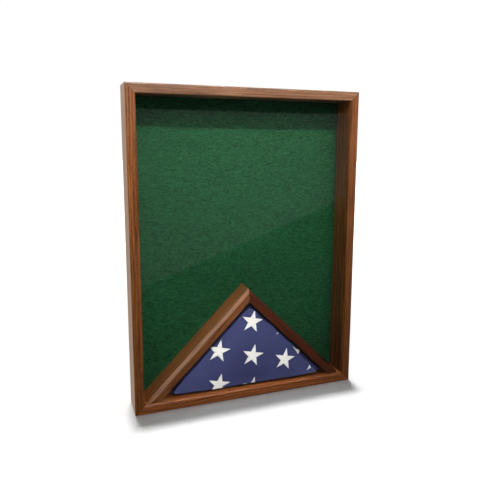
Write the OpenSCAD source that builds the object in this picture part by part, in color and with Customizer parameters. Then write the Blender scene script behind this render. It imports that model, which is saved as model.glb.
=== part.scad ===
// Folded flag display case: a mitred walnut shadow box with a glass front, a triangular
// compartment for a folded flag, and a felt-faced back that lifts out behind turn buttons.
// X runs across the front, Y runs from the front to the wall, Z is up.
// The origin is the bottom centre of the box around everything, the wall bumpers included.

/* [Case] */
// Outer width of the frame
case_w = 457.2; // [400:0.1:560]
// Outer height of the frame
case_h = 609.6; // [540:0.1:760]
// Depth of the frame from its front face to its rear edge
case_d = 69.85; // [66:0.05:90]
// Width of the frame's front face, which is the thickness of its stock
stock = 18; // [17.5:0.5:22]
// Radius worked on the frame's outer front edges
outer_round = 3; // [1:0.5:4]
// Radius worked on the frame's inner front edges
inner_round = 3; // [1:0.5:4]

/* [Glazing] */
// Thickness of the glass
glass_t = 2.4; // [2:0.1:3]
// Distance from the front face to the glass
glass_setback = 5.2; // [4.5:0.1:6]
// Depth of the groove that holds the glass
groove_d = 5; // [4:0.5:6]

/* [Flag compartment] */
// Height of the outer apex above the case's bottom
apex_h = 223.8; // [200:0.1:225]
// Thickness of the compartment's legs
leg_t = 18.5; // [16:0.5:20]
// Chamfer along the legs' outer front edge
leg_chamfer = 6; // [2:0.5:7]
// Distance from the front face to the legs' front edge
leg_setback = 8; // [7.9:0.1:9]
// Gap between the folded flag and the legs
flag_gap = 4; // [2:0.5:8]
// Distance from the front face to the folded flag
flag_setback = 12; // [9:0.5:16]
// Thickness of the folded flag from front to back
flag_t = 38; // [20:1:40]

/* [Back panel] */
// Width of the ledge that the panel rests against
ledge_w = 5; // [4:0.5:6]
// Thickness of the felt
felt_t = 1.5; // [1:0.1:2]
// Thickness of the foam board that takes the pins
foam_t = 5; // [4:0.5:5]
// Thickness of the backing board
board_t = 6; // [4:0.5:6]
// Clearance round the panel in its rebate
panel_gap = 0.6; // [0.4:0.1:1.5]

/* [Hardware] */
// Length of a turn button
button_l = 34; // [26:1:40]
// Width of a turn button
button_w = 11; // [9:0.5:11]
// Thickness of a turn button
button_t = 1.8; // [1.2:0.1:2]
// Radius of the turn buttons' screws
button_screw_r = 1.75; // [1.5:0.05:2]
// Radius of the hanger rings' wire
ring_wire_r = 1; // [0.8:0.1:1.1]
// Radius of the hanger rings' bow, to the middle of the wire
ring_r = 5.2; // [5.1:0.1:5.3]
// Thickness of the wall bumpers
bumper_t = 5; // [5:0.5:8]

/* [Hidden] */
$fn = 64;

eps = 0.01;
slip = 0.3;                                  // gap between pieces that move past each other
pilot = 0.05;                                // clearance of a screw in its hole

half_w = case_w / 2;
front = -(case_d + bumper_t) / 2;            // the frame's front face
rear = front + case_d;                       // the frame's rear edge

groove_w = glass_t + 0.4;
glass_margin = groove_d - 0.5;

panel_t = felt_t + foam_t + board_t;
rebate_d = panel_t + 2 * slip;
felt_front = rear - slip - panel_t;
panel_w = case_w - 2 * (stock - ledge_w) - 2 * panel_gap;
panel_h = case_h - 2 * (stock - ledge_w) - 2 * panel_gap;

spline_t = 3;
spline_y = front + case_d * 0.46;            // mid depth of the hidden splines
frame_spline = [15, 8];                      // across and along the frame's mitres
apex_spline_size = [18, 9];

apex_in = apex_h - leg_t * sqrt(2);          // height of the inner apex
leg_front = front + leg_setback;
leg_depth = felt_front - slip - leg_front;

leg_screw_x = apex_in - stock + 5;
leg_screw_y = [front + 22, front + 44];
leg_screw_l = 33;
leg_screw_r = 1.75;
leg_head_r = 3.6;

edge_mid = (stock - ledge_w) / 2;            // middle of the frame's rear edge
button_lift = 0.1;                           // washer gap under a turn button
button_run = button_l - button_w;            // from the pivot to the middle of the far end
button_head_r = 3.4;
button_head_t = 1.6;
button_screw_l = 16;

rail_button_x = case_w * 0.26;
stile_button_z = [case_h * 0.2, case_h * 0.62];
// each pivot's place, and the turn that lays its button along the frame's edge
button_spots = [
    [-rail_button_x, case_h - edge_mid, 180],
    [rail_button_x, case_h - edge_mid, 0],
    [-rail_button_x, edge_mid, 180],
    [rail_button_x, edge_mid, 0],
    [-half_w + edge_mid, stile_button_z[1], 90],
    [-half_w + edge_mid, stile_button_z[0], 90],
    [half_w - edge_mid, stile_button_z[1], 90],
    [half_w - edge_mid, stile_button_z[0], 90]
];

hanger_z = case_h * 0.8;
strap_w = 8;
strap_t = 1.2;
strap_l = 28;
barrel_r = 2.1;
ring_off = barrel_r + 0.5;                   // the ring's pivot behind the frame's rear edge
ring_bore_r = ring_wire_r + 0.06;
ring_leg = 5.5;                              // straight part of the ring's sides
hanger_screw_z = [-15, -23.5];               // below the pivot, clear of the hanging ring
hanger_screw_r = 1.3;
hanger_screw_l = 13;
hanger_head_r = 2.4;
hanger_head_t = 1.3;

bumper_r = 5.5;
bumper_x = half_w - 24;

walnut = "saddlebrown";

// Takes a square corner at the origin back to a radius.
module round_off(r) {
    difference() {
        translate([-1, -1]) square([r + 1, r + 1]);
        translate([r, r]) circle(r);
    }
}

// Section of the frame's moulding: X from the outside in, Y from the front face back.
module frame_section() {
    difference() {
        square([stock, case_d]);
        round_off(outer_round);
        translate([stock, 0]) mirror([1, 0]) round_off(inner_round);
        translate([0, case_d]) mirror([0, 1]) round_off(1);
        translate([stock - groove_d, glass_setback - 0.2]) square([groove_d + 1, groove_w]);
        translate([stock - ledge_w, case_d - rebate_d]) square([ledge_w + 1, rebate_d + 1]);
    }
}

// A mitred length of moulding along X, with its outer face down at Z = 0.
module moulding(length) {
    intersection() {
        translate([-length / 2, front, 0])
            mirror([0, 0, 1]) rotate([0, 90, 0])
                linear_extrude(length) frame_section();
        translate([0, rear + 1, 0]) rotate([90, 0, 0])
            linear_extrude(case_d + 2)
                polygon([
                    [-length / 2, 0], [length / 2, 0],
                    [length / 2 - stock, stock], [-length / 2 + stock, stock]
                ]);
    }
}

// The hidden splines across the four mitres, grown by a gap where they are cut as pockets.
module frame_splines(gap) {
    for (side = [-1, 1], level = [0, 1])
        translate([side * (half_w - stock / 2), spline_y, stock / 2 + level * (case_h - stock)])
            rotate([0, side * (level == 0 ? -45 : 45), 0])
                cube([frame_spline[0] + gap, spline_t + gap, frame_spline[1] + gap], center = true);
}

// The spline across the compartment's apex, grown by a gap where it is cut as a pocket.
module apex_key(gap) {
    translate([0, spline_y, apex_in + 10])
        cube([apex_spline_size[0] + gap, spline_t + gap, apex_spline_size[1] + gap], center = true);
}

// A wood screw with its tip along +Z and its head's top at Z = 0.
module screw(r, length, head_r, head_t, countersunk) {
    difference() {
        union() {
            if (countersunk) {
                cylinder(h = head_r - r, r1 = head_r, r2 = r);
            } else {
                cylinder(h = head_t * 0.4, r1 = head_r * 0.8, r2 = head_r);
                translate([0, 0, head_t * 0.4]) cylinder(h = head_t * 0.6, r = head_r);
            }
            cylinder(h = length - 2 * r, r = r);
            translate([0, 0, length - 2 * r]) cylinder(h = 2 * r, r1 = r, r2 = 0.2);
        }
        for (turn = [0, 90]) rotate([0, 0, turn]) cube([head_r * 1.1, 0.7, 1.6], center = true);
    }
}

// The hole that a screw's shank sits in, from Z = 0.
module shank_hole(r, length) {
    cylinder(h = length + 1, r = r + pilot);
}

// Carries its children to each leg screw, with +Z up and Z = 0 at the case's bottom.
module at_leg_screws() {
    for (side = [-1, 1], y = leg_screw_y)
        translate([side * leg_screw_x, y, 0]) children();
}

// Carries its children to each turn button's pivot, with +Z into the wood from its rear edge.
module at_button_pivots() {
    for (spot = button_spots)
        translate([spot[0], rear, spot[1]]) rotate([90, 0, 0]) children();
}

// Carries its children to each hanger screw, with +Z into the wood from its rear edge.
module at_hanger_screws() {
    for (side = [-1, 1], z = hanger_screw_z)
        translate([side * (half_w - edge_mid), rear, hanger_z + z]) rotate([90, 0, 0]) children();
}

// Everything that is drilled or mortised out of the frame.
module frame_cuts() {
    frame_splines(0.1);
    at_leg_screws() {
        shank_hole(leg_screw_r, leg_screw_l + 1);
        translate([0, 0, -eps]) cylinder(h = 0.5 + 2 * eps, r = leg_head_r + 0.3);
        translate([0, 0, 0.5])
            cylinder(h = leg_head_r - leg_screw_r + 0.35, r1 = leg_head_r + 0.3, r2 = leg_screw_r);
    }
    at_button_pivots() translate([0, 0, -1]) shank_hole(button_screw_r, button_screw_l - 2);
    at_hanger_screws() translate([0, 0, -1]) shank_hole(hanger_screw_r, hanger_screw_l - 1);
}

module frame_bottom_rail() {
    color(walnut) difference() {
        moulding(case_w);
        frame_cuts();
    }
}

module frame_top_rail() {
    color(walnut) difference() {
        translate([0, 0, case_h]) mirror([0, 0, 1]) moulding(case_w);
        frame_cuts();
    }
}

module frame_left_stile() {
    color(walnut) difference() {
        translate([-half_w, 0, case_h / 2]) rotate([0, 90, 0]) moulding(case_h);
        frame_cuts();
    }
}

module frame_right_stile() {
    color(walnut) difference() {
        mirror([1, 0, 0]) translate([-half_w, 0, case_h / 2]) rotate([0, 90, 0]) moulding(case_h);
        frame_cuts();
    }
}

module mitre_splines() {
    color("burlywood") frame_splines(0);
}

module glass_pane() {
    pane_w = case_w - 2 * stock + 2 * glass_margin;
    pane_h = case_h - 2 * stock + 2 * glass_margin;
    color("lightcyan", 0.3)
        translate([-pane_w / 2, front + glass_setback, (case_h - pane_h) / 2])
            cube([pane_w, glass_t, pane_h]);
}

// The left leg: a chamfered bar at 45 degrees, cut level at its toe and upright at the apex.
module leg() {
    difference() {
        intersection() {
            translate([0, leg_front + leg_depth, 0]) rotate([90, 0, 0])
                linear_extrude(leg_depth)
                    polygon([
                        [0, apex_h], [stock - apex_h, stock],
                        [stock - apex_in, stock], [0, apex_in]
                    ]);
            translate([0, leg_front, apex_in]) rotate([0, -45, 0])
                translate([-apex_h * 1.5, 0, 0]) rotate([90, 0, 90])
                    linear_extrude(apex_h * 1.6)
                        polygon([
                            [0, -1], [0, leg_t - leg_chamfer], [leg_chamfer, leg_t],
                            [leg_depth + 1, leg_t], [leg_depth + 1, -1]
                        ]);
        }
        apex_key(0.1);
        at_leg_screws() shank_hole(leg_screw_r, leg_screw_l);
    }
}

module compartment_left_leg() {
    color(walnut) leg();
}

module compartment_right_leg() {
    color(walnut) mirror([1, 0, 0]) leg();
}

module apex_spline() {
    color("burlywood") apex_key(0);
}

module leg_screws() {
    color("gold") at_leg_screws()
        translate([0, 0, 0.5]) screw(leg_screw_r, leg_screw_l - 1, leg_head_r, 0, true);
}

// The folded flag as a plain prism with blunt corners.
module folded_flag() {
    top = apex_in - flag_gap * sqrt(2) - stock;
    blunt = 8;
    color("midnightblue")
        translate([0, front + flag_setback + flag_t, stock + 0.2]) rotate([90, 0, 0])
            linear_extrude(flag_t)
                polygon([
                    [-top + blunt, 0], [-top + blunt, blunt], [-blunt, top - blunt],
                    [blunt, top - blunt], [top - blunt, blunt], [top - blunt, 0]
                ]);
}

// One layer of the back panel.
module panel_layer(y, thickness) {
    translate([-panel_w / 2, y, (case_h - panel_h) / 2]) cube([panel_w, thickness, panel_h]);
}

module felt_lining() {
    color("darkgreen") panel_layer(felt_front, felt_t);
}

module foam_board() {
    color("white") panel_layer(felt_front + felt_t, foam_t);
}

module backing_board() {
    color("peru") panel_layer(felt_front + felt_t + foam_t, board_t);
}

// A turn button on its pivot: a round-ended plate with a raised thumb lip at its free end.
module turn_button(spot) {
    color("silver")
        translate([spot[0], rear + button_lift, spot[1]]) rotate([0, spot[2], 0]) rotate([-90, 0, 0])
            difference() {
                union() {
                    cylinder(h = button_t, r = button_w / 2);
                    translate([button_run, 0, 0]) cylinder(h = button_t, r = button_w / 2);
                    translate([0, -button_w / 2, 0]) cube([button_run, button_w, button_t]);
                    translate([button_run, 0, button_t - eps])
                        cylinder(h = 0.9, r1 = button_w / 2 - 1.4, r2 = button_w / 2 - 2.4);
                }
                translate([0, 0, -1]) cylinder(h = button_t + 2, r = button_screw_r + pilot);
            }
}

module turn_button_top_left() turn_button(button_spots[0]);
module turn_button_top_right() turn_button(button_spots[1]);
module turn_button_bottom_left() turn_button(button_spots[2]);
module turn_button_bottom_right() turn_button(button_spots[3]);
module turn_button_left_upper() turn_button(button_spots[4]);
module turn_button_left_lower() turn_button(button_spots[5]);
module turn_button_right_upper() turn_button(button_spots[6]);
module turn_button_right_lower() turn_button(button_spots[7]);

module turn_button_screws() {
    proud = button_lift + button_t + 0.1 + button_head_t;
    color("silver") at_button_pivots()
        translate([0, 0, -proud]) screw(button_screw_r, button_screw_l, button_head_r, button_head_t, false);
}

// A hanger's folded strap: a plate on the frame's rear edge, rolled round the ring's bar.
module hanger_strap(side) {
    color("silver") translate([side * (half_w - edge_mid), rear, hanger_z])
        difference() {
            union() {
                translate([-strap_w / 2, 0, -strap_l]) cube([strap_w, strap_t, strap_l]);
                translate([-strap_w / 2, 0, 0]) cube([strap_w, ring_off, barrel_r]);
                translate([-strap_w / 2, ring_off, 0]) rotate([0, 90, 0]) cylinder(h = strap_w, r = barrel_r);
            }
            translate([-strap_w, ring_off, 0]) rotate([0, 90, 0]) cylinder(h = 2 * strap_w, r = ring_bore_r);
            for (z = hanger_screw_z)
                translate([0, -1, z]) rotate([-90, 0, 0])
                    cylinder(h = strap_t + 2, r = hanger_screw_r + pilot);
        }
}

module hanger_strap_left() hanger_strap(-1);
module hanger_strap_right() hanger_strap(1);

// A hanger's ring: a bar through the strap's barrel, two short sides and a round bow, hanging down.
module hanger_ring(side) {
    color("silver") translate([side * (half_w - edge_mid), rear + ring_off, hanger_z]) {
        translate([-ring_r, 0, 0]) rotate([0, 90, 0]) cylinder(h = 2 * ring_r, r = ring_wire_r);
        for (end = [-1, 1]) translate([end * ring_r, 0, 0]) {
            sphere(ring_wire_r);
            translate([0, 0, -ring_leg]) cylinder(h = ring_leg, r = ring_wire_r);
        }
        translate([0, 0, -ring_leg]) rotate([-90, 0, 0])
            rotate_extrude(angle = 180) translate([ring_r, 0]) circle(ring_wire_r);
    }
}

module hanger_ring_left() hanger_ring(-1);
module hanger_ring_right() hanger_ring(1);

module hanger_screws() {
    proud = strap_t + 0.05 + hanger_head_t;
    color("silver") at_hanger_screws()
        translate([0, 0, -proud]) screw(hanger_screw_r, hanger_screw_l, hanger_head_r, hanger_head_t, false);
}

module wall_bumpers() {
    color("dimgray")
        for (x = [-bumper_x, bumper_x], z = [edge_mid, case_h - edge_mid])
            translate([x, rear, z]) rotate([-90, 0, 0]) {
                cylinder(h = bumper_t - 1, r = bumper_r);
                translate([0, 0, bumper_t - 1]) cylinder(h = 1, r1 = bumper_r, r2 = bumper_r - 1);
            }
}

frame_top_rail();
frame_bottom_rail();
frame_left_stile();
frame_right_stile();
mitre_splines();
glass_pane();
compartment_left_leg();
compartment_right_leg();
apex_spline();
leg_screws();
folded_flag();
felt_lining();
foam_board();
backing_board();
turn_button_top_left();
turn_button_top_right();
turn_button_bottom_left();
turn_button_bottom_right();
turn_button_left_upper();
turn_button_left_lower();
turn_button_right_upper();
turn_button_right_lower();
turn_button_screws();
hanger_strap_left();
hanger_strap_right();
hanger_ring_left();
hanger_ring_right();
hanger_screws();
wall_bumpers();
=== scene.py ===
"""Folded flag display case: walnut, felt, glass and a folded cotton flag on the CAD frame."""

import math

import bmesh
import bpy
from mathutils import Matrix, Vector, noise
from mathutils.bvhtree import BVHTree


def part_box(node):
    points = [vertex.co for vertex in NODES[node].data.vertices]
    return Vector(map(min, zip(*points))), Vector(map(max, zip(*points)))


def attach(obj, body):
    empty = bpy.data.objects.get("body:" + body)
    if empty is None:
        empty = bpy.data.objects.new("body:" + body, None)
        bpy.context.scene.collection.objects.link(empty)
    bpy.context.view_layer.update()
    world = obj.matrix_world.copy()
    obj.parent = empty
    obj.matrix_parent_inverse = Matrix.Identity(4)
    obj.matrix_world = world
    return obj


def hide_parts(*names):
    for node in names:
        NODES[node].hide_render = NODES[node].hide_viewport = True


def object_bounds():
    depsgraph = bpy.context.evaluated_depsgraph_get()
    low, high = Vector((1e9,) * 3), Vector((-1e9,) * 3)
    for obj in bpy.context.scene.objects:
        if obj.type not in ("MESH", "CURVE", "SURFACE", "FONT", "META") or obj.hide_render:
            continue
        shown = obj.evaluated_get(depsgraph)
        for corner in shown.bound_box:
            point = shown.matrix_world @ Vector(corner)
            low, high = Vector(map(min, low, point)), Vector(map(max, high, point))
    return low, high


MM = 0.001

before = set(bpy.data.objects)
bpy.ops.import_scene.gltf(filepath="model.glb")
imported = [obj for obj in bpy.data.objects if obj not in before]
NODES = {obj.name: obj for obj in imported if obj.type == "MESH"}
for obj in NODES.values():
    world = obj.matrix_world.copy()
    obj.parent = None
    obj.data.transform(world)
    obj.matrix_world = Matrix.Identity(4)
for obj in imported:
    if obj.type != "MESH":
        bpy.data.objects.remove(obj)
cad_box = [list(corner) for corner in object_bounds()]
scene = bpy.context.scene


def added(name, data):
    """A new object in the scene with this data."""
    made = bpy.data.objects.new(name, data)
    scene.collection.objects.link(made)
    return made


def finished(name, bm):
    """The built-up mesh under this name."""
    mesh = bpy.data.meshes.new(name)
    bm.to_mesh(mesh)
    bm.free()
    return mesh


def place(name, mesh, body):
    """A new piece with this mesh that rides on a body."""
    piece = added(name, mesh)
    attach(piece, body)
    return piece


# ---------------------------------------------------------------- camera

CAMERA_PLACE = (-0.331, -0.9528, 0.5089)
CAMERA_TURN = (80.772, -0.331, -20.19)
CAMERA_LENS = 38.55
CAMERA_SHIFT = (-0.0296, -0.0288)
CAMERA_NEAR = 0.01

camera = added("camera", bpy.data.cameras.new("camera"))
camera.location = CAMERA_PLACE
camera.rotation_euler = [math.radians(a) for a in CAMERA_TURN]
camera.data.lens = CAMERA_LENS
camera.data.shift_x, camera.data.shift_y = CAMERA_SHIFT
camera.data.clip_start = CAMERA_NEAR
scene.camera = camera

# ---------------------------------------------------------------- shader helpers


class Shader:
    """A material whose nodes are added and wired by short calls."""

    def __init__(self, name):
        self.material = bpy.data.materials.new(name)
        self.material.use_nodes = True
        self.nodes = self.material.node_tree.nodes
        self.links = self.material.node_tree.links
        self.surface = self.nodes["Principled BSDF"]
        self.output = self.nodes["Material Output"]

    def add(self, kind, settings=(), **inputs):
        """A node of this kind. settings are its properties, and each input is a value or a socket."""
        node = self.nodes.new("ShaderNode" + kind)
        for key, value in dict(settings).items():
            setattr(node, key, value)
        for key, value in inputs.items():
            self.put(node, key.replace("_", " "), value)
        return node

    def put(self, node, key, value):
        """Sets the node's input of that name or number to a value, or wires a socket to it."""
        socket = node.inputs[int(key) if key.isdigit() else key]
        if isinstance(value, bpy.types.NodeSocket):
            self.links.new(value, socket)
        else:
            socket.default_value = value

    def set(self, **inputs):
        """Values or sockets for the Principled shader's inputs."""
        for key, value in inputs.items():
            self.put(self.surface, key.replace("_", " "), value)

    def coords(self):
        """Places on the object, in metres."""
        return self.add("TexCoord").outputs["Object"]

    def mapped(self, vector, place=(0, 0, 0), turn=(0, 0, 0), scale=(1, 1, 1)):
        """The places scaled, turned and moved, in that order."""
        node = self.add("Mapping", Vector=vector, Location=place, Rotation=turn, Scale=scale)
        return node.outputs[0]

    def noise(self, vector, scale, detail=3.0, roughness=0.55, distortion=0.0):
        """Cloudy noise of this scale, from 0 to 1."""
        node = self.add("TexNoise", Vector=vector, Scale=scale, Detail=detail)
        self.put(node, "Roughness", roughness)
        self.put(node, "Distortion", distortion)
        return node.outputs["Fac"]

    def math(self, operation, a, b=0.0, c=0.0):
        """One Math node over values or sockets."""
        node = self.nodes.new("ShaderNodeMath")
        node.operation = operation
        for index, value in enumerate((a, b, c)):
            self.put(node, str(index), value)
        return node.outputs[0]

    def total(self, start, *layers):
        """start plus each layer, a (socket, share), times its share."""
        for layer, share in layers:
            start = self.math("MULTIPLY_ADD", layer, share, start)
        return start

    def span(self, value, low, high, to_low=0.0, to_high=1.0):
        """The value's stretch from low to high as to_low to to_high, clamped."""
        ends = {"From_Min": low, "From_Max": high, "To_Min": to_low, "To_Max": to_high}
        return self.add("MapRange", Value=value, **ends).outputs[0]

    def ramp(self, value, stops):
        """Colours run between these stops, each a (place, colour)."""
        node = self.add("ValToRGB", Fac=value)
        while len(node.color_ramp.elements) < len(stops):
            node.color_ramp.elements.new(0.5)
        for element, (place, colour) in zip(node.color_ramp.elements, stops):
            element.position = place
            element.color = (*colour, 1)
        return node.outputs["Color"]

    def blend(self, factor, a, b):
        """Colours a and b blended by factor."""
        node = self.nodes.new("ShaderNodeMix")
        node.data_type = "RGBA"
        self.put(node, "0", factor)
        for index, value in ((6, a), (7, b)):
            if not isinstance(value, bpy.types.NodeSocket):
                value = (*value, 1)
            self.put(node, str(index), value)
        return node.outputs[2]

    def bump(self, height, strength, distance):
        """Fine relief from this height, with its distance in metres."""
        node = self.add("Bump", Height=height, Strength=strength, Distance=distance)
        self.set(Normal=node.outputs[0])


# ---------------------------------------------------------------- wood

# shares of a board's own colour, from its darkest pores and late wood to its palest early wood
WALNUT = (
    (0.0, (0.20, 0.17, 0.15)),
    (0.30, (0.56, 0.50, 0.44)),
    (0.60, (1.0, 0.98, 0.95)),
    (1.0, (1.62, 1.75, 1.9)),
)
PORE_DARK = (0.014, 0.006, 0.003)
# the figure's noises from its broad bands to its pores: scale along and across the grain, detail
# and roughness
FIGURE = (
    (3, 70, 2.0, 0.5),
    (7, 250, 3.0, 0.6),
    (16, 640, 3.0, 0.6),
    (60, 3000, 2.0, 0.6),
    (95, 2300, 2.0, 0.45),
)
# half the width of the mitres' glue line, without and with its soft edge, and how strongly it shows
GLUE_CORE = 0.35 * MM
GLUE_EDGE = 0.75 * MM
GLUE_SHOWS = 0.75


def mitre_line(s):
    """Shows the thin glue line of the frame's four mitres, and is 0 away from them."""
    at = s.add("SeparateXYZ", Vector=s.coords())
    middle = (cad_box[0][2] + cad_box[1][2]) / 2
    from_side = s.math("SUBTRACT", cad_box[1][0], s.math("ABSOLUTE", at.outputs["X"]))
    from_middle = s.math("ABSOLUTE", s.math("SUBTRACT", at.outputs["Z"], middle))
    from_end = s.math("SUBTRACT", cad_box[1][2] - middle, from_middle)
    gap = s.math("ABSOLUTE", s.math("SUBTRACT", from_side, from_end))
    return s.span(gap, GLUE_CORE, GLUE_EDGE, GLUE_SHOWS, 0.0)


def swayed(s, board):
    """The board's places with the slow sway of a grown trunk across its grain, which runs along X."""
    sway = s.add("TexNoise", Vector=s.mapped(board, scale=(5, 22, 22)), Scale=1.0, Detail=2.0)
    drift = s.add("VectorMath", {"operation": "MULTIPLY_ADD"})
    s.put(drift, "0", sway.outputs["Color"])
    s.put(drift, "1", (0.0, 0.012, 0.012))
    s.put(drift, "2", board)
    return drift.outputs[0]


def late_wood(s, grown):
    """Growth rings: long cones round a heart off to one side, so that a face shows lines and arches."""
    settings = {"wave_type": "RINGS", "rings_direction": "X", "wave_profile": "SIN"}
    cones = s.mapped(grown, place=(0, 0.06, 0.09), scale=(0.12, 1, 1))
    rings = s.add("TexWave", settings, Vector=cones, Scale=62.0, Distortion=1.1, Detail=2.0)
    s.put(rings, "Detail Scale", 1.4)
    return s.math("POWER", rings.outputs["Fac"], 2.0)


def walnut(name, grain_turn, offset, tone):
    """Lacquered walnut. grain_turn brings the grain onto X, offset picks the board, tone its colour."""
    s = Shader(name)
    grown = swayed(s, s.mapped(s.coords(), place=offset, turn=grain_turn))
    broad, streaks, lines, fibres, pores = (
        s.noise(s.mapped(grown, scale=(along, across, across)), 1.0, detail, roughness)
        for along, across, detail, roughness in FIGURE
    )
    pore_mask = s.span(pores, 0.60, 0.68)
    shade = s.total(
        -0.015,
        (broad, 0.26),
        (streaks, 0.50),
        (lines, 0.50),
        (fibres, 0.26),
        (late_wood(s, grown), -0.13),
    )
    stops = [(at, tuple(share * c for share, c in zip(shares, tone))) for at, shares in WALNUT]
    colour = s.ramp(s.span(shade, 0.42, 0.97), stops)
    dark = s.blend(0.6, colour, PORE_DARK)
    s.set(Base_Color=s.blend(s.math("MAXIMUM", pore_mask, mitre_line(s)), colour, dark))
    s.set(Roughness=s.span(streaks, 0.3, 0.7, 0.42, 0.56), Specular_IOR_Level=0.3)
    s.set(Coat_Weight=0.5, Coat_Roughness=0.2)
    height = s.math("MULTIPLY_ADD", pore_mask, -1.0, s.math("MULTIPLY", fibres, 0.5))
    s.bump(height, 0.35, 0.12 * MM)
    return s.material


QUARTER = math.pi / 2
# how each board is turned to bring its grain onto X, its place in the tree, and its colour, set board
# by board: the top rail's paler, greyer tone is partly painted sheen, and the right leg is given a far
# darker tone than the left
BOARDS = {
    # the top rail's paler, greyer colour is partly painted sheen
    "frame_top_rail": ((0, 0, 0), (0.31, 0.02, -0.588), (0.33, 0.154, 0.076)),
    "frame_bottom_rail": ((0, 0, 0), (1.87, 0.013, 0.045), (0.52, 0.160, 0.041)),
    "frame_left_stile": ((0, QUARTER, 0), (2.9, 0.03, -0.17), (0.37, 0.118, 0.025)),
    "frame_right_stile": ((0, QUARTER, 0), (4.4, 0.01, 0.28), (0.30, 0.095, 0.022)),
    "compartment_left_leg": ((0, QUARTER / 2, 0), (6.2, 0.02, -0.10), (0.38, 0.125, 0.032)),
    "compartment_right_leg": ((0, -QUARTER / 2, 0), (7.7, 0.04, -0.10), (0.115, 0.021, 0.0035)),
}


def dress(node, material):
    """Gives a CAD node this material."""
    slots = NODES[node].data.materials
    slots.clear()
    slots.append(material)


for node, (turn, offset, tone) in BOARDS.items():
    dress(node, walnut("walnut_" + node, turn, offset, tone))


def beech():
    """Raw beech for the hidden splines."""
    s = Shader("beech")
    fine = s.noise(s.mapped(s.coords(), scale=(60, 900, 900)), 1.0, 4.0)
    s.set(Base_Color=s.ramp(fine, [(0.3, (0.42, 0.25, 0.13)), (0.7, (0.62, 0.42, 0.25))]))
    s.set(Roughness=0.7)
    s.bump(fine, 0.3, 0.1 * MM)
    return s.material


BEECH = beech()
for node in ("mitre_splines", "apex_spline"):
    dress(node, BEECH)

# ---------------------------------------------------------------- boards, metal and rubber


def hardboard():
    """Brown hardboard: matted fibres with darker flecks."""
    s = Shader("hardboard")
    at = s.coords()
    mat = s.noise(at, 900.0, 5.0, 0.7)
    cloud = s.noise(at, 14.0, 3.0)
    flecks = s.span(s.noise(s.mapped(at, scale=(500, 500, 160)), 1.0, 2.0), 0.62, 0.72)
    colour = s.ramp(mat, [(0.3, (0.20, 0.115, 0.060)), (0.7, (0.36, 0.23, 0.135))])
    stains = s.noise(s.mapped(at, scale=(55, 55, 90)), 1.0, 4.0, 0.65, 0.8)
    colour = s.blend(s.span(cloud, 0.3, 0.7, 0.0, 0.35), colour, (0.17, 0.095, 0.05))
    colour = s.blend(s.span(stains, 0.5, 0.72, 0.0, 0.4), colour, (0.15, 0.082, 0.043))
    colour = s.blend(s.math("MULTIPLY", flecks, 0.6), colour, (0.10, 0.05, 0.025))
    s.set(Base_Color=colour, Roughness=s.span(mat, 0.3, 0.7, 0.62, 0.85))
    s.bump(mat, 0.4, 0.15 * MM)
    return s.material


def foam_paper():
    """The foam board's paper faces and its open-celled edge."""
    s = Shader("foam_paper")
    cells = s.noise(s.coords(), 1500.0, 3.0)
    s.set(Base_Color=s.ramp(cells, [(0.3, (0.66, 0.66, 0.64)), (0.7, (0.82, 0.82, 0.80))]))
    s.set(Roughness=s.span(cells, 0.3, 0.7, 0.6, 0.8))
    s.bump(cells, 0.3, 0.1 * MM)
    return s.material


def zinc(name, roughness, light, dark):
    """Zinc-plated steel: fine rolled scratches and handled patches."""
    s = Shader(name)
    at = s.coords()
    scratches = s.noise(s.mapped(at, scale=(400, 400, 9000)), 1.0, 3.0, 0.6)
    patches = s.noise(at, 260.0, 4.0, 0.6)
    s.set(Base_Color=s.ramp(patches, [(0.3, dark), (0.7, light)]), Metallic=1.0)
    s.set(Roughness=s.total(roughness, (scratches, 0.18), (patches, 0.16)))
    s.bump(scratches, 0.15, 0.04 * MM)
    return s.material


def rubber():
    """Dull moulded rubber with a fine grain and dust in it."""
    s = Shader("rubber")
    grain = s.noise(s.coords(), 2400.0, 3.0)
    dust = s.noise(s.coords(), 380.0, 4.0)
    s.set(Base_Color=s.ramp(dust, [(0.35, (0.020, 0.020, 0.021)), (0.75, (0.060, 0.060, 0.060))]))
    s.set(Roughness=s.span(grain, 0.3, 0.7, 0.6, 0.85))
    s.bump(grain, 0.4, 0.06 * MM)
    return s.material


ZINC = zinc("zinc_plate", 0.30, (0.66, 0.67, 0.66), (0.50, 0.51, 0.51))
WIRE = zinc("ring_wire", 0.22, (0.72, 0.73, 0.72), (0.56, 0.57, 0.57))
SCREW = zinc("screw_steel", 0.26, (0.68, 0.66, 0.60), (0.50, 0.48, 0.44))
for node in NODES:
    if node.startswith("turn_button") or node.startswith("hanger_strap"):
        dress(node, ZINC)
    if node.startswith("hanger_ring"):
        dress(node, WIRE)
    if node.endswith("_screws"):
        dress(node, SCREW)
dress("backing_board", hardboard())
dress("foam_board", foam_paper())
dress("wall_bumpers", rubber())

# ---------------------------------------------------------------- glass


def glass():
    """Clear float glass with a faint green cast and a few wiped smears."""
    s = Shader("float_glass")
    smear = s.noise(s.mapped(s.coords(), turn=(0, 0.6, 0), scale=(4, 4, 22)), 1.0, 3.0)
    s.set(Roughness=s.span(smear, 0.55, 0.75, 0.0, 0.012))
    s.set(Base_Color=(0.97, 0.99, 0.98, 1), Transmission_Weight=1.0, IOR=1.46)
    return s.material


dress("glass_pane", glass())
NODES["glass_pane"].visible_shadow = False

# ---------------------------------------------------------------- felt


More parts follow.
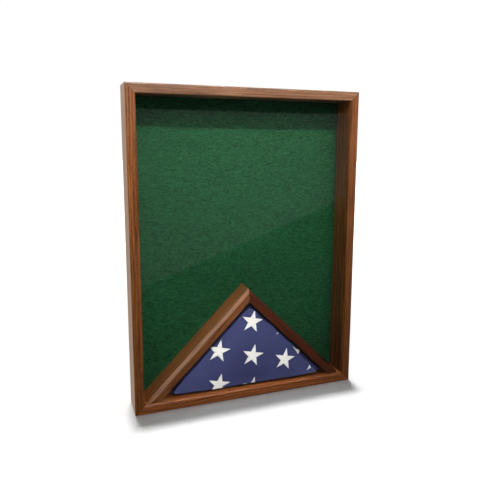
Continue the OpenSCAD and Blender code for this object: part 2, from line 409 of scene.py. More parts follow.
def felt():
    """Green felt: matted fibres, a soft nap and faint clouding."""
    s = Shader("green_felt")
    at = s.coords()
    fuzz = s.noise(at, 1700.0, 4.0, 0.7)
    nap = s.noise(s.mapped(at, scale=(260, 260, 520)), 1.0, 2.0, 0.6, 0.6)
    matting = s.noise(s.mapped(at, turn=(0, 0.12, 0), scale=(125, 125, 330)), 1.0, 3.0, 0.6, 0.8)
    cloud = s.noise(at, 9.0, 2.0)
    mixed = s.total(0.0, (nap, 0.34), (fuzz, 0.20), (matting, 0.50))
    colour = s.ramp(mixed, [(0.41, (0.006, 0.035, 0.0138)), (0.63, (0.022, 0.124, 0.046))])
    colour = s.blend(s.span(cloud, 0.3, 0.7, 0.0, 0.22), colour, (0.012, 0.078, 0.029))
    s.set(Base_Color=colour, Roughness=1.0, Specular_IOR_Level=0.1)
    s.set(Sheen_Weight=0.05, Sheen_Roughness=0.6, Sheen_Tint=(0.35, 0.9, 0.5, 1))
    s.bump(mixed, 0.9, 0.8 * MM)
    return s.material


FELT_STEP = 4 * MM
# how far the face lies behind the solid's front on average, and how far its nap goes either way
NAP_DEPTH = 0.12 * MM
NAP_SWELL = 0.08 * MM
NAP_SCALE = 55
# how much thinner than its solid the cloth is
FELT_SLACK = 0.25 * MM


def felt_face(low, high):
    """The felt's face as a grid with a soft, slightly uneven nap."""
    columns = round((high.x - low.x) / FELT_STEP)
    rows = round((high.z - low.z) / FELT_STEP)
    bm = bmesh.new()
    grid = []
    for j in range(rows + 1):
        z = low.z + (high.z - low.z) * j / rows
        line = []
        for i in range(columns + 1):
            x = low.x + (high.x - low.x) * i / columns
            nap = noise.fractal(Vector((x, 0, z)) * NAP_SCALE, 1.0, 2.0, 3)
            line.append(bm.verts.new((x, low.y + NAP_DEPTH + NAP_SWELL * nap, z)))
        grid.append(line)
    for below, above in zip(grid, grid[1:]):
        for i in range(columns):
            bm.faces.new((below[i], below[i + 1], above[i + 1], above[i])).smooth = True
    return finished("felt_cloth", bm)


def felt_sheet():
    """The felt as a laid sheet: a closed cloth on the foam board."""
    low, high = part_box("felt_lining")
    cloth = place("felt_cloth", felt_face(low, high), "back_panel")
    cloth.data.materials.append(felt())
    thick = cloth.modifiers.new("thickness", "SOLIDIFY")
    thick.thickness = high.y - low.y - FELT_SLACK
    thick.offset = -1
    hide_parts("felt_lining")
    return cloth


felt_cloth = felt_sheet()

# ---------------------------------------------------------------- flag

# The flag is cut 3 ft by 5 ft. Folded twice along its length it is a strip of four plies, and
# thirteen triangular turns of that strip make the bundle.
TURNS = 13
PLIES = 4
LAYERS = TURNS * PLIES
GRID = 40
# the ways out of the bundle's three rims
LEG_FOLD = Vector((-1, 0, 1)).normalized()
BASE_FOLD = Vector((0, 0, -1))
OPEN_EDGE = Vector((1, 0, 1)).normalized()

flag_low, flag_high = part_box("folded_flag")
glass_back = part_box("glass_pane")[1].y
# the bundle's front and back, both a little further forward than the solid's
bundle_y = (flag_low.y - 1.2 * MM, flag_high.y - 1.0 * MM)
pitch = (bundle_y[1] - bundle_y[0]) / LAYERS
fold_radius = (2 * PLIES - 1) * pitch / 2
# the bundle's outer corners, before they are blunted
BASE_Z = flag_low.z + 0.8 * MM
LEFT = Vector((flag_low.x - 8.5 * MM, 0, BASE_Z))
RIGHT = Vector((flag_high.x + 4 * MM, 0, BASE_Z))
APEX = Vector((0, 0, LEFT.z - LEFT.x))
# how far the rims lie inside the bundle's front and back, and how far its middle swells past them
RIM_DROP = 1.6 * MM
CROWN = 2.6 * MM
# the heights of the front ply's soft swells and of its small creases
FRONT_SWELL = 1.9 * MM
FRONT_CREASE = 0.28 * MM
# the cloth and the stars on it stay this far behind the glass, and bend this softly toward it
GLASS_GAP = 1.1 * MM
GLASS_BEND = 0.5 * MM
# how unevenly the plies inside lie, as a share of their pitch
PLY_STRAY = 0.12
# how far the left, right and apex corners are blunted, and how fast that fades away from them
BLUNT = (8.0 * MM, 1.5 * MM, 4.5 * MM)
BLUNT_FADE = 7 * MM
# the first turn that fills the compartment: the ones before it are drawn in and stand off the rail
RECESS_TURN = 5
LEG_DRAW = 4.2 * MM
FRONT_LIFT = 3.0 * MM
INNER_LIFT = 6.0 * MM
# how far in from the fold corners each of those turns ends on the right, at the bottom and at the top
DRAWN_IN = (
    (9.5 * MM, 2.4 * MM),
    (17 * MM, 9 * MM),
    (9 * MM, 7 * MM),
    (14 * MM, 7 * MM),
    (5 * MM, 6 * MM),
)
# the turns behind them reach further out at the bottom, and each ends a little differently
LOW_REACH = 4.5 * MM
END_STRAY = 0.8 * MM
# the open edges' waves: the front turn's broad and tight ones, then the inner turns' and how far those
# are drawn in
FRONT_WAVE = 4.2 * MM
FRONT_RIPPLE = 2.0 * MM
INNER_WAVE = 3.2 * MM
INNER_DRAW = 1.4 * MM
# how fast an open edge's wave fades into its ply
WAVE_FADE = 14
# a tab of this turn's cloth sticks out past the front edge, at a height from 0 to 1
TAB_TURN = 1
TAB_REACH = 13 * MM
TAB_HEIGHT = 0.37
TAB_WIDTH = 0.075
# the simulated form's corners start this far in, its cells are this wide, and it swells for so many
# frames
PUFF_INSET = 9 * MM
PUFF_CELL = 5 * MM
PUFF_FRAMES = 20


def smooth(t):
    """The smooth step from 0 to 1 of t, clamped."""
    t = min(1.0, max(0.0, t))
    return t * t * (3 - 2 * t)


def soft_floor(value, lowest, width):
    """The value, held above lowest with a bend that is about width wide."""
    return lowest + width * math.log1p(math.exp((value - lowest) / width))


def crossing(a, b, c, d):
    """Where line a-b meets line c-d in the XZ plane."""
    ab, cd, ac = b - a, d - c, c - a
    cross = ab.x * cd.z - ab.z * cd.x
    return a + ab * ((ac.x * cd.z - ac.z * cd.x) / cross)


def cushion_mesh():
    """The bundle's outer form as a flat-faced closed cushion."""
    corners = [LEFT, RIGHT, APEX]
    middle = sum(corners, Vector()) / 3
    bm = bmesh.new()
    rings = []
    for y in (bundle_y[0] + RIM_DROP, bundle_y[1] - RIM_DROP):
        ring = []
        for corner in corners:
            inward = (middle - corner).normalized() * PUFF_INSET
            ring.append(bm.verts.new(corner + inward + Vector((0, y, 0))))
        rings.append(ring)
    bm.faces.new(rings[0])
    bm.faces.new(reversed(rings[1]))
    for i in range(3):
        j = (i + 1) % 3
        bm.faces.new((rings[0][j], rings[0][i], rings[1][i], rings[1][j]))
    return finished("puff", bm)


def puffed_bundle():
    """The cushion swollen by cloth simulation, for the bundle's crown and dents."""
    puff = added("puff", cushion_mesh())
    remesh = puff.modifiers.new("remesh", "REMESH")
    remesh.mode = "VOXEL"
    remesh.voxel_size = PUFF_CELL
    cloth = puff.modifiers.new("cloth", "CLOTH")
    cloth.settings.quality = 6
    cloth.settings.mass = 0.3
    cloth.settings.use_pressure = True
    cloth.settings.uniform_pressure_force = 4
    cloth.settings.effector_weights.gravity = 0
    cloth.settings.tension_stiffness = 25
    cloth.settings.bending_stiffness = 0.4
    for number in range(1, PUFF_FRAMES + 1):
        scene.frame_set(number)
    evaluated = puff.evaluated_get(bpy.context.evaluated_depsgraph_get())
    result = bpy.data.meshes.new_from_object(evaluated)
    puff.modifiers.clear()
    puff.data = result
    scene.frame_set(1)
    return puff


class Bundle:
    """Depths of the folded bundle's front and back, read off the simulated form."""

    STEP = 4 * MM
    MARGIN = 12 * MM
    BLURS = 5

    def __init__(self, puff):
        verts = [v.co for v in puff.data.vertices]
        self.tree = BVHTree.FromPolygons(verts, [p.vertices for p in puff.data.polygons])
        self.corner = Vector((LEFT.x - self.MARGIN, 0, LEFT.z - self.MARGIN))
        self.columns = math.ceil((RIGHT.x + self.MARGIN - self.corner.x) / self.STEP) + 1
        self.rows = math.ceil((APEX.z + self.MARGIN - self.corner.z) / self.STEP) + 1
        self.swells = {side: self.blurred(self.sampled(side)) for side in (-1, 1)}

    def rim(self, side):
        """The depth of the bundle's rim on that side (-1 the front, 1 the back)."""
        return bundle_y[0] + RIM_DROP if side < 0 else bundle_y[1] - RIM_DROP

    def sampled(self, side):
        """How far the form swells past its rim on that side, over a grid."""
        grid = []
        for row in range(self.rows):
            line = []
            for column in range(self.columns):
                x = self.corner.x + column * self.STEP
                z = self.corner.z + row * self.STEP
                hit = self.tree.ray_cast(Vector((x, side, z)), Vector((0, -side, 0)))[0]
                line.append(0.0 if hit is None else max(0.0, (hit.y - self.rim(side)) * side))
            grid.append(line)
        return grid

    def blurred(self, grid):
        """The grid with its facets averaged away and its highest swell scaled to 1."""
        for _ in range(self.BLURS):
            source = grid
            grid = [line[:] for line in source]
            for row in range(1, self.rows - 1):
                for column in range(1, self.columns - 1):
                    around = [source[row + j][column + i] for j in (-1, 0, 1) for i in (-1, 0, 1)]
                    grid[row][column] = sum(around) / 9
        top = max(max(line) for line in grid)
        return [[value / top for value in line] for line in grid]

    def swell(self, x, z, side):
        """The swelling there, from 0 at the rims to 1 at its highest, between the grid's points."""
        across = min(max((x - self.corner.x) / self.STEP, 0), self.columns - 1.001)
        up = min(max((z - self.corner.z) / self.STEP, 0), self.rows - 1.001)
        i, j = int(across), int(up)
        across -= i
        up -= j
        low, high = self.swells[side][j], self.swells[side][j + 1]
        below = low[i] * (1 - across) + low[i + 1] * across
        above = high[i] * (1 - across) + high[i + 1] * across
        return below * (1 - up) + above * up

    def depth(self, x, z, side):
        """The crowned face's depth there on that side."""
        return self.rim(side) + CROWN * self.swell(x, z, side) * side

    def front(self, x, z):
        """The front ply's depth: the form's crown with soft swells and small creases."""
        swell = noise.fractal(Vector((x * 12 + z * 5, 0.3, z * 11)), 1.0, 2.0, 2)
        crease = noise.fractal(Vector((x * 42 + z * 20, 1.7, z * 34)), 1.0, 2.0, 2)
        y = self.depth(x, z, -1) + FRONT_SWELL * swell + FRONT_CREASE * crease
        return glass_back + soft_floor(y - glass_back, GLASS_GAP, GLASS_BEND)

    def layer(self, x, z, share):
        """The depth there of the layer at this share of the way from the front ply to the back one."""
        front = self.front(x, z)
        return front + (self.depth(x, z, 1) - front) * share


def open_line(turn):
    """Two points on the line where this turn's plies end on the right. The first turns are drawn in."""
    if turn < RECESS_TURN:
        low_in, top_in = DRAWN_IN[turn]
    else:
        top_in = END_STRAY * math.sin(2.4 * turn)
        low_in = top_in - LOW_REACH
    return APEX - Vector((top_in, 0, 0)), RIGHT - Vector((low_in, 0, 0))


def corners_of(turn):
    """This turn's flat corners: left, right and apex, inside the folds' bulge."""
    rim = LEG_FOLD * fold_radius
    rise = BASE_FOLD * fold_radius
    if turn < RECESS_TURN:
        rim = rim + LEG_FOLD * LEG_DRAW
        rise = rise + BASE_FOLD * (INNER_LIFT if turn else FRONT_LIFT)
    right_top, right_low = open_line(turn)
    left = crossing(LEFT - rim, APEX - rim, LEFT - rise, RIGHT - rise)
    right = crossing(right_top, right_low, LEFT - rise, RIGHT - rise)
    apex = crossing(LEFT - rim, APEX - rim, right_top, right_low)
    return left, right, apex


def edge_wave(turn, ply, height):
    """How far this ply's open edge stands out past its straight line, at a height from 0 to 1."""
    ends = smooth(height * 9) * smooth((1 - height) * 6)
    if turn == 0:
        wave = noise.noise(Vector((height * 7.3 + 2.1, 0.4, ply * 0.12)))
        ripple = noise.noise(Vector((height * 21, 3.7, ply * 0.2)))
        return (FRONT_WAVE * wave + FRONT_RIPPLE * ripple) * ends
    wave = noise.noise(Vector((height * 13, turn * 3.1, ply * 0.35)))
    reach = (INNER_WAVE * wave - INNER_DRAW) * ends
    if turn == TAB_TURN:
        reach += TAB_REACH * math.exp(-(((height - TAB_HEIGHT) / TAB_WIDTH) ** 2))
    return reach


def ply_points(bundle, turn, ply):
    """The grid of one triangular ply, as {(i, j): point}, blunt at its corners."""
    corners = corners_of(turn)
    left, right, apex = corners
    middle = (left + right + apex) / 3
    layer = turn * PLIES + ply
    share = layer / (LAYERS - 1)
    points = {}
    for j in range(GRID + 1):
        for i in range(GRID + 1 - j):
            v, u = j / GRID, i / GRID
            p = left * (1 - u - v) + right * u + apex * v
            for corner, blunt in zip(corners, BLUNT):
                near = math.exp(-(p - corner).length / BLUNT_FADE)
                p = p + (middle - corner).normalized() * blunt * near
            p = p + OPEN_EDGE * math.exp(-(1 - u - v) * WAVE_FADE) * edge_wave(turn, ply, v)
            y = bundle.layer(p.x, p.z, share)
            if layer:
                y += PLY_STRAY * pitch * noise.noise(Vector((p.x * 60, layer * 5.0, p.z * 60)))
            points[i, j] = Vector((p.x, y, p.z))
    return points


def rims():
    """The grid's three rims as lists of keys, each with the way out of it."""
    span = range(GRID + 1)
    return {
        "leg": ([(0, j) for j in span], LEG_FOLD),
        "base": ([(i, 0) for i in span], BASE_FOLD),
        "open": ([(GRID - j, j) for j in span], OPEN_EDGE),
    }


def fold_pairs():
    """Which plies run into each other round which rim, as (rim, layer, layer)."""
    pairs = []
    for turn in range(TURNS):
        first = turn * PLIES
        rim = "base" if turn % 2 else "leg"
        if turn < TURNS - 1:
            for ply in range(PLIES):
                pairs.append((rim, first + ply, first + 2 * PLIES - 1 - ply))
        nested = [(0, 3), (1, 2)]
        ends = [(0, 1)] if turn % 2 else nested
        pairs.extend(("open", first + a, first + b) for a, b in ends)
        if turn == 0:
            pairs.extend(("base", first + a, first + b) for a, b in nested)
        if turn == TURNS - 1:
            pairs.extend(("leg", first + a, first + b) for a, b in nested)
    return pairs


FOLD_STEPS = 5


def add_plies(bm, bundle):
    """Adds every flat ply. Returns each layer's {(i, j): vertex}, and the front ply's faces."""
    layers = []
    front_faces = []
    for layer in range(LAYERS):
        points = ply_points(bundle, layer // PLIES, layer % PLIES)
        verts = {key: bm.verts.new(point) for key, point in points.items()}
        layers.append(verts)
        for (i, j), corner in verts.items():
            if i + j >= GRID:
                continue
            a, b = verts[i + 1, j], verts[i, j + 1]
            made = [bm.faces.new((corner, a, b))]
            if i + j < GRID - 1:
                made.append(bm.faces.new((a, verts[i + 1, j + 1], b)))
            if layer == 0:
                front_faces += made
    return layers, front_faces


def add_fold(bm, first, last, out, radius):
    """Joins two plies' rims by a round fold that bulges out, and flattens toward the rims' ends."""
    starts = [v.co.copy() for v in first]
    ends = [v.co.copy() for v in last]
    previous = first
    for step in range(1, FOLD_STEPS + 1):
        angle = math.pi * step / FOLD_STEPS
        row = last
        if step < FOLD_STEPS:
            row = []
            for n, (start, end) in enumerate(zip(starts, ends)):
                fade = smooth(4 * n / GRID) * smooth(4 * (GRID - n) / GRID)
                across = (1 - math.cos(angle)) / 2
                reach = radius * math.sin(angle) * (0.25 + 0.75 * fade)
                row.append(bm.verts.new(start.lerp(end, across) + out * reach))
        for n in range(GRID):
            bm.faces.new((previous[n], previous[n + 1], row[n + 1], row[n]))
        previous = row


def refine_front(bm, bundle, faces):
    """Splits the front ply's faces up finer, so that it carries its small creases."""
    inner = {e for f in faces for e in f.edges if all(g in faces for g in e.link_faces)}
    made = bmesh.ops.subdivide_edges(bm, edges=list(inner), cuts=2, use_grid_fill=True)
    for part in made["geom_inner"]:
        if isinstance(part, bmesh.types.BMVert):
            part.co.y = bundle.front(part.co.x, part.co.z)


def folded_cloth(bundle):
    """The whole flag as one cloth: its plies, and the round folds that join them."""
    bm = bmesh.new()
    layers, front_faces = add_plies(bm, bundle)
    for rim, one, other in fold_pairs():
        keys, out = rims()[rim]
        first = [layers[one][k] for k in keys]
        last = [layers[other][k] for k in keys]
        add_fold(bm, first, last, out, pitch * abs(other - one) / 2)
    refine_front(bm, bundle, front_faces)
    bmesh.ops.recalc_face_normals(bm, faces=bm.faces)
    for face in bm.faces:
        face.smooth = True
    return finished("flag", bm)


STAR_RADIUS = 24 * MM
STAR_WAIST = 0.39
STAR_TILT = math.radians(-13.4)
STAR_SIDES = 12
STAR_RINGS = 14
# how far an embroidered star stands off the cloth at its rim and at its middle, the height of its
# padding and the distance in which that rises
STAR_RIM = 0.05 * MM
STAR_MIDDLE = 0.75 * MM
STAR_PAD = 0.62 * MM
STAR_RISE = 0.7 * MM
# its stitch ridges, and the lines pressed from its middle to its notches
STITCH_HEIGHT = 0.07 * MM
STITCH_PITCH = 0.42 * MM
STITCH_RISE = 1 * MM
PRESS_DEPTH = 0.34 * MM
PRESS_WIDTH = 0.9 * MM
# the grid of stars on the blue: one of them, and the steps to its neighbours down and across
STAR_START = Vector((8.2 * MM, 0, 84.0 * MM))
STAR_DOWN = Vector((0, 0, -70.5 * MM))
STAR_ACROSS = Vector((70.8 * MM, 0, -18.2 * MM))
# the star on the tab, which the folding has turned
TAB_STAR = Vector((106.5 * MM, 0, 71.5 * MM))
TAB_TILT = math.radians(-45)
TAB_STAR_OFF = 0.1 * MM


def star_reach(angle):
    """Distance from a star's centre to its outline at this angle from a tip."""
    sector = math.pi / 5
    a = abs((angle + sector) % (2 * sector) - sector)
    tip = Vector((1, 0))
    notch = Vector((math.cos(sector), math.sin(sector))) * STAR_WAIST
    side = notch - tip
    ray = Vector((math.cos(a), math.sin(a)))
    return STAR_RADIUS * (tip.x * side.y - tip.y * side.x) / (ray.x * side.y - ray.y * side.x)


def star_lift(angle, reach, share):
    """How far a star stands off the cloth at this share of its reach, at this angle from a tip."""
    edge = reach * (1 - share)
    lift = STAR_RIM + STAR_PAD * (1 - math.exp(-edge / STAR_RISE))
    stitch = STITCH_HEIGHT * math.sin(reach * share / STITCH_PITCH)
    lift += stitch * (1 - math.exp(-edge / STITCH_RISE))
    off_notch = abs(angle % (math.pi * 0.4) - math.pi / 5) * reach * share
    press = PRESS_DEPTH * math.exp(-((off_notch / PRESS_WIDTH) ** 2))
    return lift - press * smooth(share * 3)


def flat_star(centre, tilt):
    """An embroidered star in the XZ plane. Each vertex's Y is how far it stands off the cloth."""
    bm = bmesh.new()
    middle = bm.verts.new(centre + Vector((0, STAR_MIDDLE, 0)))
    inner = None
    count = 10 * STAR_SIDES
    for ring in range(1, STAR_RINGS + 1):
        share = ring / STAR_RINGS
        row = []
        for n in range(count):
            angle = 2 * math.pi * n / count
            reach = star_reach(angle)
            lift = star_lift(angle, reach, share)
            way = angle + tilt + math.pi / 2
            out = Vector((math.cos(way), 0, math.sin(way))) * reach * share
            row.append(bm.verts.new(centre + out + Vector((0, lift, 0))))
        for n in range(count):
            m = (n + 1) % count
            if inner:
                bm.faces.new((inner[n], inner[m], row[m], row[n]))
            else:
                bm.faces.new((middle, row[m], row[n]))
        inner = row
    return bm


def clip(bm, point, outward):
    """Cuts away what lies beyond the plane through point."""
    bmesh.ops.bisect_plane(
        bm,
        geom=bm.verts[:] + bm.edges[:] + bm.faces[:],
        plane_co=point,
        plane_no=outward,
        clear_outer=True,
    )


def on_front(bundle, flat):
    """The point of the front ply that carries this flat point, turned round the folds at the rims."""
    left = corners_of(0)[0]
    lift = flat.y
    base = Vector((flat.x, 0, flat.z))
    out, beyond = LEG_FOLD, (base - left).dot(LEG_FOLD)
    if (base - left).dot(BASE_FOLD) > max(beyond, 0):
        out, beyond = BASE_FOLD, (base - left).dot(BASE_FOLD)
    if beyond <= 0:
        return Vector((flat.x, bundle.front(flat.x, flat.z) - lift, flat.z))
    rim = base - out * beyond
    radius = fold_radius if out == LEG_FOLD else 1.5 * pitch
    turn = min(beyond / radius, math.pi)
    y = bundle.front(rim.x, rim.z) + radius - (radius + lift) * math.cos(turn)
    return rim + out * (radius + lift) * math.sin(turn) + Vector((0, y, 0))


# the stars end this far inside the open edge, and what that pinches together is merged
EDGE_GAP = 0.7 * MM
PINCHED = 0.02 * MM


def trimmed(bm, line, wave):
    """Draws what lies past the open edge back to it. line is the edge's two points, wave its shape."""
    top, low = line
    outward = Vector((top.z - low.z, 0, low.x - top.x)).normalized()
    for vert in bm.verts:
        height = (vert.co.z - low.z) / (top.z - low.z)
        past = (Vector((vert.co.x, 0, vert.co.z)) - low).dot(outward) - wave(height) + EDGE_GAP
        if past > 0:
            vert.co -= outward * past
            vert.co.y = 0
    bmesh.ops.remove_doubles(bm, verts=bm.verts[:], dist=PINCHED)
    bmesh.ops.dissolve_degenerate(bm, edges=bm.edges[:], dist=PINCHED)


def front_stars(bundle):
    """Every star that shows on the front ply, cut off where the cloth folds away."""
    left, right = corners_of(0)[:2]
    made = []
    for across in (-1, 0, 1, 2):
        for down in (-2, -1, 0, 1, 2):
            bm = flat_star(STAR_START + STAR_ACROSS * across + STAR_DOWN * down, STAR_TILT)
            clip(bm, left + LEG_FOLD * fold_radius * 1.7, LEG_FOLD)
            clip(bm, left + BASE_FOLD * pitch * 2, BASE_FOLD)
            clip(bm, right + OPEN_EDGE * 7 * MM, OPEN_EDGE)
            trimmed(bm, open_line(0), lambda height: edge_wave(0, 0, height))
            for vert in bm.verts:
                vert.co = on_front(bundle, vert.co)
            made.append(bm)
    return made


def tab_star(bundle):
    """The star of which an arm shows on the tab past the front plies' edge."""
    share = TAB_TURN * PLIES / (LAYERS - 1)
    bm = flat_star(TAB_STAR, TAB_TILT)
    clip(bm, open_line(TAB_TURN)[1], -OPEN_EDGE)
    trimmed(bm, open_line(TAB_TURN), lambda height: edge_wave(TAB_TURN, 0, height))
    for vert in bm.verts:
        vert.co.y = bundle.layer(vert.co.x, vert.co.z, share) - vert.co.y - TAB_STAR_OFF
    return bm


def stars_on(bundle):
    """All the stars that show, as one mesh."""
    whole = bmesh.new()
    for bm in front_stars(bundle) + [tab_star(bundle)]:
        part = finished("star", bm)
        whole.from_mesh(part)
        bpy.data.meshes.remove(part)
    bmesh.ops.recalc_face_normals(whole, faces=whole.faces)
    for face in whole.faces:
        face.smooth = True
    return finished("flag_stars", whole)


# the woven way of the front ply, which the folding has tilted like its stars
WEAVE_TURN = (0, -STAR_TILT, 0)


def flag_blue():
    """Blue cotton: a fine plain weave with uneven threads, a soft sheen, and painted shade that darkens
    its middle.
    """
    s = Shader("flag_blue")
    at = s.coords()
    weave = s.mapped(at, turn=WEAVE_TURN)
    warp, weft = (
        s.add("TexWave", {"bands_direction": way}, Vector=weave, Scale=620, Distortion=0.6)
        for way in ("X", "Z")
    )
    threads = s.math("MULTIPLY", warp.outputs["Fac"], weft.outputs["Fac"])
    cloud = s.noise(at, 17.0, 3.0)
    slubs = s.noise(s.mapped(weave, scale=(60, 1, 1400)), 1.0, 3.0)
    tone = s.total(0.0, (threads, 0.25), (cloud, 0.55), (slubs, 0.2))
    # painted shade and light: the cloth is painted darker round its middle and paler toward its folds
    from_middle = s.add("VectorMath", {"operation": "DISTANCE"})
    s.put(from_middle, "0", s.mapped(at, scale=(0.8, 0, 1)))
    s.put(from_middle, "1", (0.008, 0, 0.070))
    tone = s.math("ADD", tone, s.span(from_middle.outputs["Value"], 0.03, 0.10, -0.10, 0.08))
    s.set(Base_Color=s.ramp(tone, [(0.2, (0.023, 0.026, 0.078)), (0.75, (0.046, 0.051, 0.136))]))
    s.set(Roughness=s.span(slubs, 0.3, 0.7, 0.55, 0.7))
    s.set(Specular_IOR_Level=0.2, Sheen_Weight=0.08, Sheen_Roughness=0.4)
    s.set(Sheen_Tint=(0.62, 0.68, 1, 1))
    s.bump(threads, 0.35, 0.12 * MM)
    return s.material


def star_thread():
    """Off-white embroidery: rows of satin stitch with a soft gloss."""
    s = Shader("star_thread")
    at = s.coords()
    rows = s.noise(s.mapped(at, turn=(0, math.radians(30), 0), scale=(260, 500, 3400)), 1.0, 3.0)
    mottle = s.noise(at, 420.0, 3.0)
    tone = s.total(0.0, (mottle, 0.4), (rows, 0.6))
    s.set(Base_Color=s.ramp(tone, [(0.32, (0.50, 0.48, 0.44)), (0.62, (0.80, 0.78, 0.73))]))
    s.set(Roughness=s.span(rows, 0.3, 0.7, 0.45, 0.65), Sheen_Weight=0.15)
    s.bump(rows, 0.6, 0.3 * MM)
    return s.material


puff = puffed_bundle()
bundle = Bundle(puff)
flag = place("flag", folded_cloth(bundle), "case")
flag.data.materials.append(flag_blue())
stars = place("flag_stars", stars_on(bundle), "case")
stars.data.materials.append(star_thread())
bpy.data.objects.remove(puff)
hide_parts("folded_flag")

# ---------------------------------------------------------------- stage


FLOOR_RADIUS = 14
FLOOR_GAP = 0.2 * MM
# the floor starts and ends to glow this far out
GLOW_FROM = 0.5
GLOW_TO = 1.6


def floor():
    """A pale floor that runs far out, and is white a little way off from the case."""
    bpy.ops.mesh.primitive_circle_add(vertices=96, radius=FLOOR_RADIUS, fill_type="NGON")
    ground = bpy.context.object
    ground.name = "floor"
    ground.location.z = cad_box[0][2] - FLOOR_GAP
    s = Shader("floor_white")
    s.set(Base_Color=(0.9, 0.9, 0.9, 1), Roughness=1.0, Specular_IOR_Level=0.0)
    far = s.add("VectorMath", {"operation": "LENGTH"})
    s.put(far, "0", s.coords())
    s.set(Emission_Color=(1, 1, 1, 1))
    s.set(Emission_Strength=s.span(far.outputs["Value"], GLOW_FROM, GLOW_TO, 0.066, 0.6))
    ground.data.materials.append(s.material)
    ground.visible_glossy = False
    ground.visible_diffuse = False
    ground.visible_transmission = False
    return ground


def card(name, corners, strength, tint=(1, 1, 1), soft="", shown_to=None):
    """A glowing card that shows in gloss: it isn't seen itself, and casts neither light nor shade.

    soft names the axes along which it fades to nothing at its edges, and shown_to is the collection
    that mirrors it, or None for all.
    """
    mesh = bpy.data.meshes.new(name)
    mesh.from_pydata([Vector(c) for c in corners], [], [range(len(corners))])
    made = added(name, mesh)
    s = Shader(name)
    s.nodes.remove(s.surface)
    at = s.add("SeparateXYZ", Vector=s.add("TexCoord").outputs["Generated"])
    for axis in soft:
        along = at.outputs[axis]
        edge = s.math("MINIMUM", along, s.math("SUBTRACT", 1.0, along))
        strength = s.math("MULTIPLY", strength, s.span(edge, 0.0, 0.4))
    glow = s.add("Emission", Color=(*tint, 1), Strength=strength)
    clear = s.add("BsdfTransparent")
    both = s.nodes.new("ShaderNodeAddShader")
    s.links.new(glow.outputs[0], both.inputs[0])
    s.links.new(clear.outputs[0], both.inputs[1])
    s.links.new(both.outputs[0], s.output.inputs["Surface"])
    mesh.materials.append(s.material)
    if shown_to:
        made.light_linking.receiver_collection = shown_to
    made.visible_camera = False
    made.visible_diffuse = False
    made.visible_shadow = False
    return made


def lamp(name, place, aim, size, power, lights, tint=(1, 1, 1), spread=180):
    """A rectangular softbox at place that faces aim and lights one collection."""
    data = bpy.data.lights.new(name, "AREA")
    data.shape = "RECTANGLE"
    data.size, data.size_y = size
    data.energy = power
    data.color = tint
    data.spread = math.radians(spread)
    made = added(name, data)
    made.location = place
    made.rotation_euler = (Vector(aim) - Vector(place)).to_track_quat("-Z", "Y").to_euler()
    made.visible_camera = False
    made.visible_transmission = False
    made.light_linking.receiver_collection = lights
    return made


def sun(name, tilt, angle, strength, lights):
    """A distant round light that shines down, leaned by tilt about X and Y, on one collection."""
    data = bpy.data.lights.new(name, "SUN")
    data.energy = strength
    data.angle = math.radians(angle)
    made = added(name, data)
    made.rotation_euler = [math.radians(t) for t in (*tilt, 0)]
    made.light_linking.receiver_collection = lights


def receivers(name, pieces):
    """A collection of these pieces, for a lamp or card that reaches only them."""
    made = bpy.data.collections.new(name)
    for piece in pieces:
        made.objects.link(piece)
    return made


# the surround's strength as the camera sees it, as diffuse light and as gloss mirrors it
SEEN = 1.02
DIM = 0.15
DARK = 0.01


def surround():
    """White to the camera, also straight through the glass, dim to diffuse light and dark to gloss."""
    world = bpy.data.worlds.new("surround")
    scene.world = world
    world.use_nodes = True
    nodes, links = world.node_tree.nodes, world.node_tree.links
    nodes.remove(nodes["Background"])
    path = nodes.new("ShaderNodeLightPath")

    def shade(strength):
        node = nodes.new("ShaderNodeBackground")
        node.inputs["Color"].default_value = (1, 1, 1, 1)
        node.inputs["Strength"].default_value = strength
        return node.outputs[0]

    def mixed(factor, a, b):
        node = nodes.new("ShaderNodeMixShader")
        for index, socket in enumerate((factor, a, b)):
            links.new(socket, node.inputs[index])
        return node.outputs[0]

    def maths(operation, a, b):
        node = nodes.new("ShaderNodeMath")
        node.operation = operation
        links.new(a, node.inputs[0])
        if isinstance(b, bpy.types.NodeSocket):
            links.new(b, node.inputs[1])
        else:
            node.inputs[1].default_value = b
        return node.outputs[0]

    mirrored = maths("MAXIMUM", path.outputs["Is Glossy Ray"], path.outputs["Is Transmission Ray"])
    unseen = mixed(mirrored, shade(DIM), shade(DARK))
    bounced = maths("MAXIMUM", path.outputs["Diffuse Depth"], path.outputs["Glossy Depth"])
    straight = maths("LESS_THAN", bounced, 0.5)
    through = maths("MULTIPLY", straight, path.outputs["Is Transmission Ray"])
    seen = maths("MAXIMUM", through, path.outputs["Is Camera Ray"])
    links.new(mixed(seen, unseen, shade(SEEN)), nodes["World Output"].inputs["Surface"])


ground = floor()
surround()
right_stile = NODES["frame_right_stile"]
leg_nodes = [NODES["compartment_left_leg"], NODES["compartment_right_leg"]]
pieces = [*NODES.values(), flag, stars, felt_cloth]
lit = receivers("lit_by_lamps", pieces)
right_lit = receivers("lit_from_the_right", [right_stile])
side_lit = receivers("lit_from_the_side", [p for p in pieces if p != right_stile])
floor_lit = receivers("lit_by_floor_sun", [ground])
flag_lit = receivers("lit_by_flag_lamp", [flag, stars])
leg_lit = receivers("lit_by_window", leg_nodes)
unglazed = receivers("all_but_the_glass", [p for p in pieces if p != NODES["glass_pane"]])

WARM = (1.0, 0.88, 0.72)
COOL = (0.90, 0.98, 1.10)
lamp("key", (0.10, -0.90, 1.463), (0.0, 0.02, 0.57), (0.9, 0.05), 1.62, lit, spread=44)
lamp("front", (0.10, -0.95, 1.018), (0.0, 0.02, 0.54), (0.8, 0.05), 0.34, lit, spread=60)
low = lamp("low", (0.10, -0.95, 0.825), (0.0, 0.02, 0.52), (0.8, 0.04), 0.07, lit, spread=70)
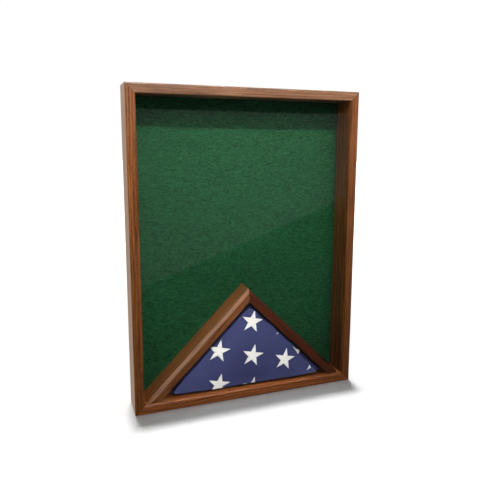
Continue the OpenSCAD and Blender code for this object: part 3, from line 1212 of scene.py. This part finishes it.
# the low lamp would show in the glass as a bar
low.visible_glossy = False
lamp("rear", (-0.9, 1.5, 1.5), (0, 0, 0.3), (1.2, 1.2), 22, lit, COOL)
lamp("side", (-1.6, 0.1, 1.1), (0, 0, 0.3), (0.6, 1.0), 8, side_lit)
lamp("flag", (-0.35, -0.78, 0.95), (0.0, 0, 0.1), (0.5, 0.5), 2.95, flag_lit, spread=60)
sun("floor_sun", (-4.8, 0.4), 3.3, 2.85, floor_lit)
sun("sky", (-4.6, 1.5), 20, 1.0, lit)
lamp("right", (1.7, 0.5, 1.0), (0.2, 0, 0.3), (0.8, 1.0), 9, right_lit)
window = lamp("window", (-1.08, -0.67, 1.05), (0, 0, 0.15), (0.7, 0.8), 34, leg_lit, WARM)
# the window only puts gloss on the legs
window.visible_diffuse = False

FRONT_Y = -2.5
REAR_Y = 2
CEILING_Z = 1.6
# the band of light across the glass, with its slanted lower edge
glare_corners = [(-0.30, -0.613), (2.10, 0.263), (2.10, 0.72), (-0.30, 0.72)]
card("glare_card", [(x, FRONT_Y, z) for x, z in glare_corners], 0.145)
# soft cards that show in all but the glass: left, right, low and strength
haze = (("haze_left", -0.6, 0.10, 0.45, 1.5), ("haze_top", 0.10, 0.9, 0.84, 0.9))
for name, left, right, low_z, strength in haze:
    corners = [(left, low_z), (right, low_z), (right, 1.3), (left, 1.3)]
    card(name, [(x, FRONT_Y, z) for x, z in corners], strength, soft="XZ", shown_to=unglazed)
right_corners = [(1.15, -1.25, -0.2), (1.75, -0.65, -0.2), (1.75, -0.65, 1.2), (1.15, -1.25, 1.2)]
card("right_card", right_corners, 1.0, soft="XZ", shown_to=unglazed)
ceiling_corners = [(-1.2, -1.4), (1.2, -1.4), (1.2, -0.4), (-1.2, -0.4)]
ceiling = [(x, y, CEILING_Z) for x, y in ceiling_corners]
card("ceiling_card", ceiling, 1.6, soft="XY", shown_to=unglazed)
# what the metal and wood behind mirror: left, right, strength, colour and soft axes
rear = (
    ("rear_left_card", -3.0, -0.3, 0.70, WARM, ""),
    ("rear_right_card", -0.3, 3.0, 0.6, (1, 1, 1), "XZ"),
)
for name, left, right, strength, tint, soft in rear:
    corners = [(left, -2.5), (right, -2.5), (right, 2.4), (left, 2.4)]
    made = card(name, [(x, REAR_Y, z) for x, z in corners], strength, tint, soft)
    made.visible_transmission = False

scene.view_settings.view_transform = "Standard"
